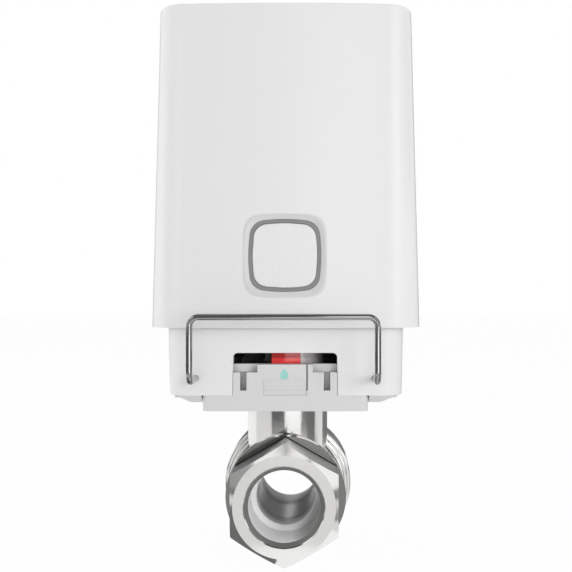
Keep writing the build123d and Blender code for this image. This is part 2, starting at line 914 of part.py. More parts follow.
# Second gear: its pinion meshes with the output gear, its wheel with the first gear's pinion
half_pitch = half_turn / pinion_teeth
second_pinion = toothed_disc(
    large_pinion,
    second_direction + half_turn + half_pitch,
    second_centre,
    gear_bottom,
    second_wheel_bottom - gear_bottom,
)
second_wheel = toothed_disc(
    gear_outline(second_wheel_teeth, small_module),
    first_direction,
    second_centre,
    second_wheel_bottom,
    wheel_height,
)

with BuildPart() as second_gear:
    add([second_pinion, second_wheel])
    with Locations((second_centre[0], second_centre[1], second_wheel_bottom)):
        Cylinder(axle_radius + running_gap, 2 * lid_plate_bottom, mode=Mode.SUBTRACT)

second_gear.part.label = "second_gear"
export_step(second_gear.part, "parts/second_gear.step")

# First gear: its wheel meshes with the motor's pinion
first_pinion_bottom = second_wheel_bottom - pinion_overlap

first_pinion = toothed_disc(
    small_pinion,
    first_direction + half_turn + half_pitch,
    first_centre,
    first_pinion_bottom,
    first_wheel_bottom - first_pinion_bottom,
)
first_wheel = toothed_disc(
    gear_outline(first_wheel_teeth, small_module),
    motor_direction,
    first_centre,
    first_wheel_bottom,
    wheel_height,
)

with BuildPart() as first_gear:
    add([first_pinion, first_wheel])
    with Locations((first_centre[0], first_centre[1], first_wheel_bottom)):
        Cylinder(axle_radius + running_gap, 2 * lid_plate_bottom, mode=Mode.SUBTRACT)

first_gear.part.label = "first_gear"
export_step(first_gear.part, "parts/first_gear.step")

motor_pinion_disc = toothed_disc(
    small_pinion,
    motor_direction + half_turn + half_pitch,
    motor_centre,
    first_wheel_bottom - pinion_overlap,
    wheel_height + 2 * pinion_overlap,
)

with BuildPart() as motor_pinion:
    add(motor_pinion_disc)
    with Locations((motor_centre[0], motor_centre[1], first_wheel_bottom)):
        Cylinder(motor_shaft_radius + running_gap, 2 * wheel_height + 2 * pinion_overlap, mode=Mode.SUBTRACT)

motor_pinion.part.label = "motor_pinion"
export_step(motor_pinion.part, "parts/motor_pinion.step")

with BuildPart(Plane(origin=(motor_centre[0], motor_centre[1], first_wheel_bottom - layer_gap))) as motor_shaft:
    Cylinder(
        motor_shaft_radius,
        lid_top + motor_shaft_inside - first_wheel_bottom + layer_gap,
        align=(Align.CENTER, Align.CENTER, Align.MIN),
    )

motor_shaft.part.label = "motor_shaft"
export_step(motor_shaft.part, "parts/motor_shaft.step")

axle_bottom = chassis_floor - axle_sink
axle_height = lid_plate_bottom + lid_plate / 2 - axle_bottom

with BuildPart(Plane.XY.offset(axle_bottom)) as gear_axles:
    with Locations(second_centre, first_centre):
        Cylinder(axle_radius, axle_height, align=(Align.CENTER, Align.CENTER, Align.MIN))

gear_axles.part.label = "gear_axles"
export_step(gear_axles.part, "parts/gear_axles.step")

bushing_radius = shaft_radius + running_gap + bushing_wall

with BuildPart() as output_bushing:
    with BuildSketch(level(recess_top)):
        Circle(bushing_radius)
    extrude(amount=recess_roof)
    with BuildSketch(level(chassis_floor)):
        Circle(bushing_radius + bushing_flange)
    extrude(amount=gear_floor_gap / 2)
    with BuildSketch(level(recess_top)):
        Circle(shaft_radius + running_gap)
    extrude(amount=recess_roof + gear_floor_gap, mode=Mode.SUBTRACT)

output_bushing.part.label = "output_bushing"
export_step(output_bushing.part, "parts/output_bushing.step")

# Chassis: chamfered tub with the window, the platform's recess and a flange inside the cover
inner_width = base_width - 2 * base_wall
inner_depth = base_depth - 2 * base_wall
tub_floor = base_bottom + base_floor
flange_width = cover_width - 2 * (skirt_wall + flange_gap)
flange_depth = cover_depth - 2 * (skirt_wall + flange_gap)
flange_corner = cover_corner - skirt_wall - flange_gap
recess_half_width = deck_width / 2 + head_gap
recess_back = deck_back + shoulder_depth + head_gap
ear_recess = ear_outer + ear_gap
pin_reach = housing_y - pin_end

with BuildPart() as chassis:
    with BuildSketch(level(base_bottom, housing_y)):
        RectangleRounded(
            base_width - 2 * base_chamfer_inset,
            base_depth - 2 * base_chamfer_inset,
            base_corner - base_chamfer_inset,
        )
    with BuildSketch(level(base_bottom + base_chamfer_height, housing_y)):
        RectangleRounded(base_width, base_depth, base_corner)
    loft(ruled=True)
    with BuildSketch(level(base_bottom + base_chamfer_height, housing_y)):
        RectangleRounded(base_width, base_depth, base_corner)
    with BuildSketch(level(base_top, housing_y)):
        RectangleRounded(base_top_width, base_depth, base_corner)
    loft(ruled=True)
    with BuildSketch(level(base_top, housing_y)):
        RectangleRounded(flange_width, flange_depth, flange_corner)
    extrude(amount=flange_height)
    with BuildSketch(level(tub_floor, housing_y)):
        RectangleRounded(inner_width, inner_depth, base_corner - base_wall)
    extrude(amount=flange_top, mode=Mode.SUBTRACT)
    with BuildSketch(level(plate_top, base_front_y)):
        Rectangle(
            2 * (recess_half_width + recess_side_wall),
            stem_y + recess_back + recess_back_wall - base_front_y,
            align=(Align.CENTER, Align.MIN),
        )
    extrude(amount=chassis_floor - plate_top)
    with BuildSketch(level(plate_top, base_front_y)):
        Rectangle(
            platform_width + 2 * (plate_gap + recess_side_wall),
            stem_y + platform_back + plate_gap + recess_back_wall - base_front_y,
            align=(Align.CENTER, Align.MIN),
        )
    extrude(amount=base_wall)
    with BuildSketch(level(tub_floor - base_wall, stem_y - (ear_front + ear_back) / 2)):
        Rectangle(inner_width + base_wall, ear_depth + 2 * (ear_gap + ear_housing_wall))
    extrude(amount=ear_top + ear_gap + ear_housing_wall - tub_floor + base_wall)
    with BuildSketch(level(tub_floor)):
        with Locations(*[(x, post_y) for x in (-post_x, post_x)]):
            Circle(post_radius)
    extrude(amount=flange_top - tub_floor)
    with BuildSketch(level(chassis_floor)):
        with Locations(*[(x, y) for x in (-lid_screw_x, lid_screw_x) for y in lid_screw_rows]):
            Circle(lid_boss_radius)
    extrude(amount=flange_top - chassis_floor)
    # Recess for the platform's plate, head and ears
    with BuildSketch(level(base_bottom, base_front_y)):
        Rectangle(
            platform_width + 2 * plate_gap,
            2 * (stem_y + platform_back + plate_gap - base_front_y),
        )
    extrude(amount=plate_top - base_bottom, mode=Mode.SUBTRACT)
    with BuildSketch(level(base_bottom, base_front_y + base_wall)):
        Rectangle(
            2 * recess_half_width,
            stem_y + recess_back - base_front_y - base_wall,
            align=(Align.CENTER, Align.MIN),
        )
    extrude(amount=recess_top - base_bottom, mode=Mode.SUBTRACT)
    with BuildSketch(level(base_bottom, stem_y - (ear_front + ear_back) / 2)):
        Rectangle(2 * ear_recess, ear_depth + 2 * ear_gap)
    extrude(amount=ear_top + ear_gap - base_bottom, mode=Mode.SUBTRACT)
    # Front window, open at the bottom
    with BuildSketch(Plane.XZ.offset(-base_front_y)) as window:
        with BuildLine():
            Polyline(
                (-window_foot_width / 2, window_foot),
                (window_foot_width / 2, window_foot),
                (window_width / 2, window_top),
                (-window_width / 2, window_top),
                close=True,
            )
        make_face()
        fillet(window.vertices().group_by(Axis.Y)[-1], window_corner)
    extrude(amount=base_wall + cut_overrun, both=True, mode=Mode.SUBTRACT)
    # Holes for the bracket, the output bushing, the axles, screws and side notches
    with BuildSketch(Plane.XZ.offset(-(base_front_y - cut_overrun))):
        with Locations((pin_spacing / 2, pin_height), (-pin_spacing / 2, pin_height)):
            Circle(wire_hole_radius)
    extrude(amount=-(pin_reach - base_front_y), mode=Mode.SUBTRACT)
    with BuildSketch(level(recess_top)):
        Circle(bushing_radius + running_gap)
    extrude(amount=recess_roof, mode=Mode.SUBTRACT)
    with BuildSketch(Plane.XY.offset(axle_bottom)):
        with Locations(second_centre, first_centre):
            Circle(axle_radius + running_gap)
    extrude(amount=flange_top, mode=Mode.SUBTRACT)
    with BuildSketch(level(base_bottom)):
        with Locations(*[(x, post_y) for x in (-post_x, post_x)]):
            Circle(post_bolt_radius + fit_gap)
    extrude(amount=flange_top, mode=Mode.SUBTRACT)
    with BuildSketch(level(base_bottom)):
        with Locations(*[(x, post_y) for x in (-post_x, post_x)]):
            Circle(post_head_radius)
    extrude(amount=post_head_height, mode=Mode.SUBTRACT)
    with BuildSketch(level(flange_top)):
        with Locations(*[(x, y) for x in (-lid_screw_x, lid_screw_x) for y in lid_screw_rows]):
            Circle(small_screw_radius + running_gap)
    extrude(amount=-(flange_top - chassis_floor), mode=Mode.SUBTRACT)
    with BuildSketch(level(side_notch_bottom, stem_y - side_notch_front)):
        with GridLocations(base_width, 0, 2, 1):
            Rectangle(2 * side_notch_depth, side_notch_width)
    extrude(amount=side_notch_height, mode=Mode.SUBTRACT)

chassis.part.label = "chassis"
export_step(chassis.part, "parts/chassis.step")

# Cover: drafted cap with a stepped wall, a dish round the button and two screw posts
lean = radians(cover_draft)
button_face_y = cover_front_y + (button_height - cover_bottom) * tan(lean)
button_plane = Plane(
    origin=(0, button_face_y, button_height),
    x_dir=(1, 0, 0),
    z_dir=(0, -cos(lean), sin(lean)),
)
ledge_height = flange_top + gasket_height
ledge_shrink = 2 * (ledge_height - cover_bottom) * tan(lean)
inner_cover_width = cover_width - 2 * cover_wall - ledge_shrink
inner_cover_depth = cover_depth - 2 * cover_wall - ledge_shrink
inner_corner = cover_corner - cover_wall
post_from_corner_x = post_x - (inner_cover_width / 2 - inner_corner)
post_from_corner_y = post_y - housing_back_shift - (inner_cover_depth / 2 - inner_corner)
rib_lead = (post_from_corner_x + post_from_corner_y) / sqrt(2)
rib_reach = rib_lead**2 - post_from_corner_x**2 - post_from_corner_y**2 + (inner_corner + cover_wall / 2) ** 2
rib_length = sqrt(rib_reach) - rib_lead

with BuildPart() as cover:
    with BuildSketch(level(cover_bottom, housing_y)):
        add(bowed_rectangle(cover_width, cover_depth, cover_bow, cover_corner))
    extrude(amount=cover_height, taper=cover_draft)
    fillet(cover.edges().group_by(Axis.Z)[-1], cover_top_round)
    with BuildSketch(level(cover_bottom, housing_y)):
        RectangleRounded(cover_width - 2 * skirt_wall, cover_depth - 2 * skirt_wall, cover_corner - skirt_wall)
    extrude(amount=ledge_height - cover_bottom, taper=cover_draft, mode=Mode.SUBTRACT)
    with BuildSketch(level(ledge_height, housing_y)):
        RectangleRounded(inner_cover_width, inner_cover_depth, inner_corner)
    extrude(amount=cover_top - cover_wall - ledge_height, taper=cover_draft, mode=Mode.SUBTRACT)
    with BuildSketch(level(ledge_height)):
        with Locations(*[(x, post_y) for x in (-post_x, post_x)]):
            Circle(post_radius)
    extrude(amount=cover_post_top - ledge_height)
    with BuildSketch(level(ledge_height)):
        for side in (-1, 1):
            with Locations(Location((side * post_x, post_y), 90 - side * 45)):
                Rectangle(rib_length, rib_thickness, align=(Align.MIN, Align.CENTER))
    extrude(amount=cover_post_top - ledge_height)
    with BuildSketch(level(ledge_height)):
        with Locations(*[(x, post_y) for x in (-post_x, post_x)]):
            Circle(post_bolt_radius + running_gap)
    extrude(amount=post_bolt_top - ledge_height + cut_overrun, mode=Mode.SUBTRACT)
    with BuildSketch(button_plane):
        add(squircle(dish_width))
    with BuildSketch(button_plane.offset(-dish_depth)):
        add(squircle(ring_width + 2 * fit_gap))
    loft(mode=Mode.SUBTRACT)
    with BuildSketch(button_plane):
        add(squircle(ring_width + 2 * fit_gap))
    extrude(amount=-2 * cover_wall, mode=Mode.SUBTRACT)

cover.part.label = "cover"
export_step(cover.part, "parts/cover.step")

with BuildPart() as cover_gasket:
    with BuildSketch(level(flange_top, housing_y)):
        RectangleRounded(flange_width, flange_depth, flange_corner)
        RectangleRounded(
            flange_width - 2 * gasket_width,
            flange_depth - 2 * gasket_width,
            flange_corner - gasket_width,
            mode=Mode.SUBTRACT,
        )
    extrude(amount=gasket_height)

cover_gasket.part.label = "cover_gasket"
export_step(cover_gasket.part, "parts/cover_gasket.step")

cover_screw_head = base_bottom + post_head_height
cover_screw_plane = Plane(origin=(0, stem_y + post_y, cover_screw_head), x_dir=(1, 0, 0), z_dir=(0, 0, -1))

with BuildPart(cover_screw_plane) as cover_screws:
    with GridLocations(2 * post_x, 0, 2, 1):
        screw(
            post_bolt_radius,
            post_bolt_top - cover_screw_head,
            post_head_radius - fit_gap,
            post_head_height - fit_gap,
        )

cover_screws.part.label = "cover_screws"
export_step(cover_screws.part, "parts/cover_screws.step")

# Light ring and button, square to the cover's leaning front
with BuildPart() as light_ring:
    with BuildSketch(button_plane.offset(-ring_sink)):
        add(squircle(ring_width))
    extrude(amount=-(ring_depth - ring_sink))
    with BuildSketch(button_plane.offset(-cover_wall - running_gap)):
        add(squircle(ring_flange_width))
    extrude(amount=-ring_flange_height)
    with BuildSketch(button_plane):
        add(squircle(ring_inner_width))
    extrude(amount=-ring_depth, mode=Mode.SUBTRACT)

light_ring.part.label = "light_ring"
export_step(light_ring.part, "parts/light_ring.step")

switch_front_y = board_y - switch_height
switch_tip_y = switch_front_y - switch_plunger_reach
plunger_reach = (switch_tip_y - button_face_y) / cos(lean) - plunger_radius * tan(lean)

with BuildPart() as button_cap:
    with BuildSketch(button_plane.offset(-button_sink)):
        add(squircle(button_width))
    extrude(amount=-button_thickness)
    fillet(button_cap.faces().sort_by(Axis.Y)[0].edges(), button_edge_round)
    with BuildSketch(button_plane.offset(-button_sink)):
        Circle(plunger_radius)
    extrude(amount=-(plunger_reach - button_sink))

button_cap.part.label = "button_cap"
export_step(button_cap.part, "parts/button_cap.step")

button_tip_z = button_height - (plunger_reach + button_sink) * sin(lean)
switch_plane = Plane(origin=(0, board_y, button_tip_z), x_dir=(1, 0, 0), z_dir=(0, -1, 0))

with BuildPart() as button_switch:
    with BuildSketch(switch_plane):
        Rectangle(switch_size, switch_size)
    extrude(amount=switch_height)
    with BuildSketch(switch_plane.offset(switch_height)):
        Circle(switch_plunger_radius + moving_gap)
    extrude(amount=-(switch_height - 2 * button_travel), mode=Mode.SUBTRACT)

button_switch.part.label = "button_switch"
export_step(button_switch.part, "parts/button_switch.step")

with BuildPart() as switch_actuator:
    with BuildSketch(switch_plane.offset(switch_height + switch_plunger_reach)):
        Circle(switch_plunger_radius)
    extrude(amount=-(switch_plunger_reach + switch_height / 2))

switch_actuator.part.label = "switch_actuator"
export_step(switch_actuator.part, "parts/switch_actuator.step")

# Gearbox lid: an inverted tray on the chassis flange
lid_screws_places = [(x, y) for x in (-lid_screw_x, lid_screw_x) for y in lid_screw_rows]

with BuildPart() as gearbox_lid:
    with BuildSketch(level(flange_top, housing_y)):
        RectangleRounded(lid_width, lid_depth, lid_corner)
    extrude(amount=lid_step_height)
    with BuildSketch(level(flange_top, housing_y)):
        RectangleRounded(lid_width, lid_depth, lid_corner)
        with Locations((0, -housing_back_shift - lid_step_back)):
            Rectangle(lid_width, lid_depth, align=(Align.CENTER, Align.MIN), mode=Mode.INTERSECT)
    extrude(amount=lid_top - flange_top)
    with BuildSketch(level(flange_top, housing_y)):
        RectangleRounded(lid_width - 2 * lid_wall, lid_depth - 2 * lid_wall, lid_corner - lid_wall)
    extrude(amount=lid_step_height - lid_plate, mode=Mode.SUBTRACT)
    with BuildSketch(level(flange_top, housing_y)):
        RectangleRounded(lid_width - 2 * lid_wall, lid_depth - 2 * lid_wall, lid_corner - lid_wall)
        with Locations((0, lid_wall - housing_back_shift - lid_step_back)):
            Rectangle(lid_width, lid_depth, align=(Align.CENTER, Align.MIN), mode=Mode.INTERSECT)
    extrude(amount=lid_plate_bottom - flange_top, mode=Mode.SUBTRACT)
    with BuildSketch(level(flange_top)):
        with Locations(*lid_screws_places):
            Circle(lid_boss_radius)
    extrude(amount=lid_top - flange_top)
    with BuildSketch(level(flange_top)):
        with Locations(*lid_screws_places):
            Circle(small_screw_radius + fit_gap)
        Circle(shaft_top_radius + running_gap)
    extrude(amount=lid_top - flange_top, mode=Mode.SUBTRACT)
    with BuildSketch(level(flange_top)):
        with Locations(*[(x, post_y) for x in (-post_x, post_x)]):
            Circle(post_radius + moving_gap)
        for side in (-1, 1):
            with Locations(Location((side * post_x, post_y), 90 - side * 45)):
                Rectangle(rib_length, rib_thickness + 2 * moving_gap, align=(Align.MIN, Align.CENTER))
    extrude(amount=lid_top - flange_top, mode=Mode.SUBTRACT)
    with BuildSketch(Plane.XY.offset(lid_plate_bottom)):
        with Locations(motor_centre):
            Circle(motor_boss_radius + fit_gap)
    extrude(amount=lid_plate, mode=Mode.SUBTRACT)
    with BuildSketch(Plane.XY.offset(lid_plate_bottom)):
        with Locations(second_centre, first_centre):
            Circle(axle_radius + running_gap)
    extrude(amount=lid_plate / 2 + fit_gap, mode=Mode.SUBTRACT)

gearbox_lid.part.label = "gearbox_lid"
export_step(gearbox_lid.part, "parts/gearbox_lid.step")

with BuildPart(level(lid_top)) as gearbox_screws:
    with Locations(*lid_screws_places):
        screw(small_screw_radius, lid_screw_length, small_head_radius, small_head_height)

gearbox_screws.part.label = "gearbox_screws"
export_step(gearbox_screws.part, "parts/gearbox_screws.step")

motor_plane = Plane(origin=(motor_centre[0], motor_centre[1], lid_top))

with BuildPart() as motor:
    with BuildSketch(motor_plane):
        Circle(motor_radius)
    extrude(amount=motor_height)
    fillet(motor.edges().filter_by(GeomType.CIRCLE), motor_edge_round)
    with BuildSketch(motor_plane):
        Circle(motor_boss_radius)
    extrude(amount=-motor_boss_height)
    with BuildSketch(motor_plane.offset(motor_height)):
        Circle(motor_boss_radius)
    extrude(amount=motor_boss_height)
    with BuildSketch(motor_plane.offset(-motor_boss_height)):
        Circle(motor_shaft_radius + running_gap)
    extrude(amount=motor_boss_height + motor_shaft_inside + moving_gap, mode=Mode.SUBTRACT)

motor.part.label = "motor"
export_step(motor.part, "parts/motor.step")

# Inner frame: a portal on the lid, with bosses for the board
frame_depth = frame_back + board_front - board_thickness
board_bottom = flange_top + lid_step_height + board_bottom_gap
board_height = frame_top - board_top_gap - board_bottom
board_screw_places = [
    (x, board_bottom + board_screw_rise + row * board_screw_pitch)
    for x in (-board_screw_x, board_screw_x)
    for row in (0, 1)
]
frame_front_y = board_y + board_thickness

with BuildPart() as inner_frame:
    with BuildSketch(Plane.XZ.offset(-frame_front_y)):
        with Locations((0, lid_top)):
            Rectangle(frame_inner_width + 2 * frame_wall, frame_height, align=(Align.CENTER, Align.MIN))
            Rectangle(
                frame_inner_width,
                frame_height - frame_wall,
                align=(Align.CENTER, Align.MIN),
                mode=Mode.SUBTRACT,
            )
    extrude(amount=-frame_depth)
    with BuildSketch(Plane.XZ.offset(-frame_front_y)):
        with Locations(*board_screw_places):
            Circle(board_boss_radius)
    extrude(amount=-board_boss_length)
    with BuildSketch(Plane.XZ.offset(-frame_front_y)):
        with Locations(*board_screw_places):
            Circle(small_screw_radius + running_gap)
    extrude(amount=-board_boss_length, mode=Mode.SUBTRACT)

inner_frame.part.label = "inner_frame"
export_step(inner_frame.part, "parts/inner_frame.step")

# Main board and what it carries
with BuildPart() as main_board:
    with BuildSketch(Plane.XZ.offset(-board_y)):
        with Locations((0, board_bottom)):
            Rectangle(board_width, board_height, align=(Align.CENTER, Align.MIN))
        with Locations(*board_screw_places):
            Circle(small_screw_radius + fit_gap, mode=Mode.SUBTRACT)
    extrude(amount=-board_thickness)

main_board.part.label = "main_board"
export_step(main_board.part, "parts/main_board.step")

with BuildPart(Plane.XZ.offset(-board_y)) as board_screws:
    with Locations(*board_screw_places):
        screw(small_screw_radius, board_screw_length, small_head_radius, small_head_height)

board_screws.part.label = "board_screws"
export_step(board_screws.part, "parts/board_screws.step")

with BuildPart() as status_leds:
    with BuildSketch(switch_plane):
        with GridLocations(led_spacing, led_spacing, 2, 2):
            Rectangle(led_size, led_size)
    extrude(amount=led_height)

status_leds.part.label = "status_leds"
export_step(status_leds.part, "parts/status_leds.step")

with BuildPart() as radio_module:
    with BuildSketch(Plane.XZ.offset(-board_y)):
        with Locations((0, button_height + radio_rise)):
            Rectangle(radio_width, radio_height)
    extrude(amount=radio_thickness)

radio_module.part.label = "radio_module"
export_step(radio_module.part, "parts/radio_module.step")

# Battery tray, four cells lying along X and their contacts
tray_centre_y = frame_front_y + frame_depth / 2
cell_heights = [frame_top + tray_wall + moving_gap / 2 + cell_radius + row * cell_pitch for row in (0, 1)]
cell_places = [(y, z) for y in (-cell_pitch / 2, cell_pitch / 2) for z in cell_heights]
tray_plane = Plane(origin=(0, tray_centre_y, 0), x_dir=(0, 1, 0), z_dir=(1, 0, 0))

with BuildPart() as battery_tray:
    with BuildSketch(level(frame_top, tray_centre_y)):
        Rectangle(tray_width, tray_depth)
    extrude(amount=tray_height)
    with BuildSketch(level(frame_top + tray_wall, tray_centre_y)):
        Rectangle(tray_width - 2 * tray_wall, tray_depth - 2 * tray_wall)
    extrude(amount=tray_height, mode=Mode.SUBTRACT)

battery_tray.part.label = "battery_tray"
export_step(battery_tray.part, "parts/battery_tray.step")

with BuildPart() as batteries:
    with BuildSketch(tray_plane.offset(-cell_length / 2)):
        with Locations(*cell_places):
            Circle(cell_radius)
    extrude(amount=cell_length - cell_nub_length)
    with BuildSketch(tray_plane.offset(cell_length / 2 - cell_nub_length)):
        with Locations(*cell_places):
            Circle(cell_nub_radius)
    extrude(amount=cell_nub_length)

batteries.part.label = "batteries"
export_step(batteries.part, "parts/batteries.step")

contact_reach = tray_width / 2 - tray_wall
with BuildPart() as battery_contacts:
    for side in (-1, 1):
        with BuildSketch(tray_plane.offset(side * contact_reach)):
            with Locations(*cell_places):
                Rectangle(contact_size, contact_size)
        extrude(amount=-side * contact_thickness)
        with BuildSketch(tray_plane.offset(side * contact_reach)):
            with Locations(*cell_places):
                Circle(cell_nub_radius)
        extrude(amount=-side * (contact_reach - cell_length / 2 - fit_gap))

battery_contacts.part.label = "battery_contacts"
export_step(battery_contacts.part, "parts/battery_contacts.step")

# Locking bracket: one bent wire, its two pins run back through the chassis into the platform's ears
bar_y = stem_y - bar_forward
pin_x = pin_spacing / 2

with BuildPart() as locking_bracket:
    with BuildLine() as wire_path:
        FilletPolyline(
            (-pin_x, stem_y - pin_end, pin_height),
            (-pin_x, bar_y, pin_height),
            (-pin_x, bar_y, bar_height),
            (pin_x, bar_y, bar_height),
            (pin_x, bar_y, pin_height),
            (pin_x, stem_y - pin_end, pin_height),
            radius=bracket_bend,
        )
    with BuildSketch(Plane.XZ.offset(-(stem_y - pin_end))):
        with Locations((-pin_x, pin_height)):
            Circle(wire_radius)
    sweep(path=wire_path.wire())

locking_bracket.part.label = "locking_bracket"
export_step(locking_bracket.part, "parts/locking_bracket.step")
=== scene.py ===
# Looks of the smart water valve: camera, studio, materials and the small drop mark on its tab.
# Everything is in metres, in the frame of the CAD model: pipe along Y, stem up Z, button to -Y.

import math

import bpy
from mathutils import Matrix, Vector


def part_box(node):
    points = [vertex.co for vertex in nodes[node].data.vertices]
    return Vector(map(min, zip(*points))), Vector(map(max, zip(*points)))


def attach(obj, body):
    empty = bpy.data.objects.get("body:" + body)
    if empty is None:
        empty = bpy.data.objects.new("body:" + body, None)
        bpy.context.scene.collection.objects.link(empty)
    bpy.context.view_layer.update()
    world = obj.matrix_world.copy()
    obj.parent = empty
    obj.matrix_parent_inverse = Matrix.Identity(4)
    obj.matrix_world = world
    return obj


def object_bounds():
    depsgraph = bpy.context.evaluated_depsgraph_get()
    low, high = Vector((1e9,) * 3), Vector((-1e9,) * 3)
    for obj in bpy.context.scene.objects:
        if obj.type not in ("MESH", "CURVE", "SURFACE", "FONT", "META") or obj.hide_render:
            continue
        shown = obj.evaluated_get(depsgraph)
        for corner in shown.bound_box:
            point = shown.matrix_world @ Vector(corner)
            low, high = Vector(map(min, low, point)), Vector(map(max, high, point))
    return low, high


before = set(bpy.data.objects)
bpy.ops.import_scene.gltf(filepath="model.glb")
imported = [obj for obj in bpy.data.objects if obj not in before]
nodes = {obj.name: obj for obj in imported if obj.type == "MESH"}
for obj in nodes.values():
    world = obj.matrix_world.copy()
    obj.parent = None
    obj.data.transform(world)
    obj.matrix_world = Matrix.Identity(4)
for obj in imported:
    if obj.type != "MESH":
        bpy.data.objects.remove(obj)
size_at_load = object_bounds()

MM = 0.001
ground = size_at_load[0].z
object_middle = (size_at_load[0] + size_at_load[1]) / 2

# Camera: level, a little right of the pipe and 53 mm above it, as the photo's vanishing lines say
camera_place = Vector((8.0, -211.3, 53.1)) * MM
camera_lens_mm = 51.7
camera_sensor_mm = 36.0
camera_shift_x = -0.0513
camera_shift_y = 0.0245
camera_near = 10.0 * MM
camera_level = math.radians(90.0)

# Studio: a pale floor right under the valve, a soft room, and five soft lights (place, watts)
pure_white = (1.0, 1.0, 1.0, 1.0)
floor_half_width = 3.0
floor_glow = 0.97
floor_white = 0.85
floor_roughness = 0.9
room_level = 0.5
light_width = 0.4
lights = {
    "light_right": ((0.46, -0.52, 0.12), 2.0),
    "light_left": ((-0.48, -0.5, 0.08), 0.1),
    "light_side": ((-0.69, 0.13, 0.10), 2.8),
    "light_front": ((0.03, -0.68, 0.09), 0.735),
    "light_top": ((0.0, 0.0, 0.75), 0.95),
}

# Cards that only the shine sees: from and to in degrees from -Y towards +X, brightness, and two
# edges, which are radii on the floor and heights on the walls. Each floor card lies a step above
# the one before.
card_lift = 0.5 * MM
card_step = 0.05 * MM
card_radius = 0.45
card_faces = 8
floor_cards = {
    "card_near": (-180.0, 180.0, 0.76, 0.03, 0.19),
    "card_near_right": (66.0, 104.0, 0.25, 0.04, 0.19),
    "card_near_left": (-130.0, -50.0, 0.16, 0.003, 0.10),
    "card_far_side": (-104.0, -44.0, 0.76, 0.19, card_radius),
    "card_far_left": (-48.0, -7.0, 0.03, 0.19, card_radius),
    "card_far_right": (44.0, 92.0, 0.13, 0.19, card_radius),
    "card_far_pale": (92.0, 120.0, 0.80, 0.19, card_radius),
    "card_far_rear": (125.0, 196.0, 0.18, 0.19, card_radius),
}
wall_cards = {
    "card_wall_low": (-180.0, -4.0, 0.16, -0.016, 0.032),
    "card_wall_bright": (-4.0, 44.0, 2.4, -0.016, 0.032),
    "card_wall_end": (44.0, 164.0, 0.20, -0.016, 0.032),
    "card_wall_left": (-80.0, -42.0, 0.35, 0.032, 0.3),
    "card_wall_right": (66.0, 115.0, 0.30, 0.15, 0.5),
    "card_wall_front": (-28.0, 2.0, 0.05, 0.032, 0.38),
    "card_wall_streak": (2.0, 13.0, 1.3, 0.032, 0.30),
    "card_wall_front_right": (13.0, 36.0, 0.05, 0.032, 0.38),
    "card_wall_rear": (164.0, 180.0, 0.20, -0.016, 0.5),
    "card_wall_rear_left": (-172.0, -140.0, 0.12, 0.032, 0.5),
    "card_wall_rear_right": (140.0, 164.0, 0.20, 0.032, 0.5),
}
ceiling_brightness = 0.06
ceiling_height = 0.5
ceiling_radius = 0.42

# Grain: how fine and deep it is, and the share by which the roughness strays with it
grain_detail = 3.0
plastic_grain = 2500.0
plastic_depth = 0.004 * MM
plastic_stray = 0.15
metal_grain = 1800.0
metal_depth = 0.003 * MM
metal_stray = 0.3

# Stretch of the grain: none, or as tool marks along the pipe or upright
stretch_none = (1.0, 1.0, 1.0)
stretch_pipe = (1.0, 0.06, 1.0)
stretch_upright = (1.0, 1.0, 0.08)

# Clear and milky plastics
clear_share = 0.8
clear_roughness = 0.12
guide_share = 0.3
guide_depth = 1.0 * MM

# Zones of the valve body by distance from the pipe's axis and place along it
port_zone = (8.1 * MM, 9.34 * MM)
mouth_zone = (9.34 * MM, 10.35 * MM)
outside_start = 13.2 * MM
flats_zone = (0.3 * MM, 9.69 * MM)
recess_zone = (9.69 * MM, 10.72 * MM)
front_port_end = 15.0 * MM

# Shade in the front port: its direction below +X, and where it starts and peaks that way
shade_turn = math.radians(25.0)
shade_reach = (5.6 * MM, 8.6 * MM)

# What the shader's sockets hold in each zone, where that isn't the plain metal's value
port_finish = {"Base Color": (0.97, 0.97, 0.97), "Metallic": 0.0, "Roughness": 0.45}
shade_finish = {"Base Color": (0.40, 0.397, 0.39)}
flats_finish = {"Roughness": 0.30}
# Painted shade: the recess between the hex and the collar is coloured dark
recess_shade = {"Base Color": (0.26, 0.258, 0.25)}
# Painted dark reflection: the mouths' chamfers are coloured dark metal
mouth_dark_reflection = {"Base Color": (0.20, 0.198, 0.19), "Metallic": 0.4, "Roughness": 0.40}
passage_finish = {"Base Color": (0.66, 0.66, 0.66), "Metallic": 0.2, "Roughness": 0.45}

# Painted shade in the dish round the light ring, a square with round corners about the ring's middle
band_reach = 11.0 * MM
band_blend = 0.2 * MM
band_power = 5.0
band_depth = 15.0 * MM

# Pointer: painted shade on its upper edge, and a faint painted glow of its colour
pointer_shade_edge = 37.3 * MM
pointer_shade_blend = 0.25 * MM
pointer_glow = 0.12

# Painted sheen on the drum's front, a grey patch beside the pointer: where it starts, starts to fade
# and ends
sheen_start = 3.7 * MM
sheen_blend = 0.15 * MM
sheen_fade = (7.2 * MM, 10.4 * MM)

# Painted shade in the grooves and corners of base and platform, by ambient occlusion: its reach, and
# how open a corner is where the shade starts and where it peaks
groove_shade_reach = 2.5 * MM
groove_shade_from = 0.75
groove_shade_full = 0.1

# Drop mark on the window's tab
drop_rise = 8.4 * MM
drop_shift = -0.25 * MM
drop_width = 2.3 * MM
drop_height = 2.9 * MM
drop_lift = 0.02 * MM
drop_points = 48
drop_widest_share = 0.77

# A Mix node's first and second value and its result, by number, for each kind of value
mix_sockets = {"RGBA": (6, 7, 2), "FLOAT": (2, 3, 0)}


def opaque(colour):
    """A colour with full alpha."""
    return (*colour, 1.0)


def middle_of(name):
    """The middle of a CAD node's box."""
    lowest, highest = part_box(name)
    return (lowest + highest) / 2


def new_material(name):
    """A material with one Principled shader, and that shader."""
    material = bpy.data.materials.new(name)
    material.use_nodes = True
    return material, material.node_tree.nodes["Principled BSDF"]


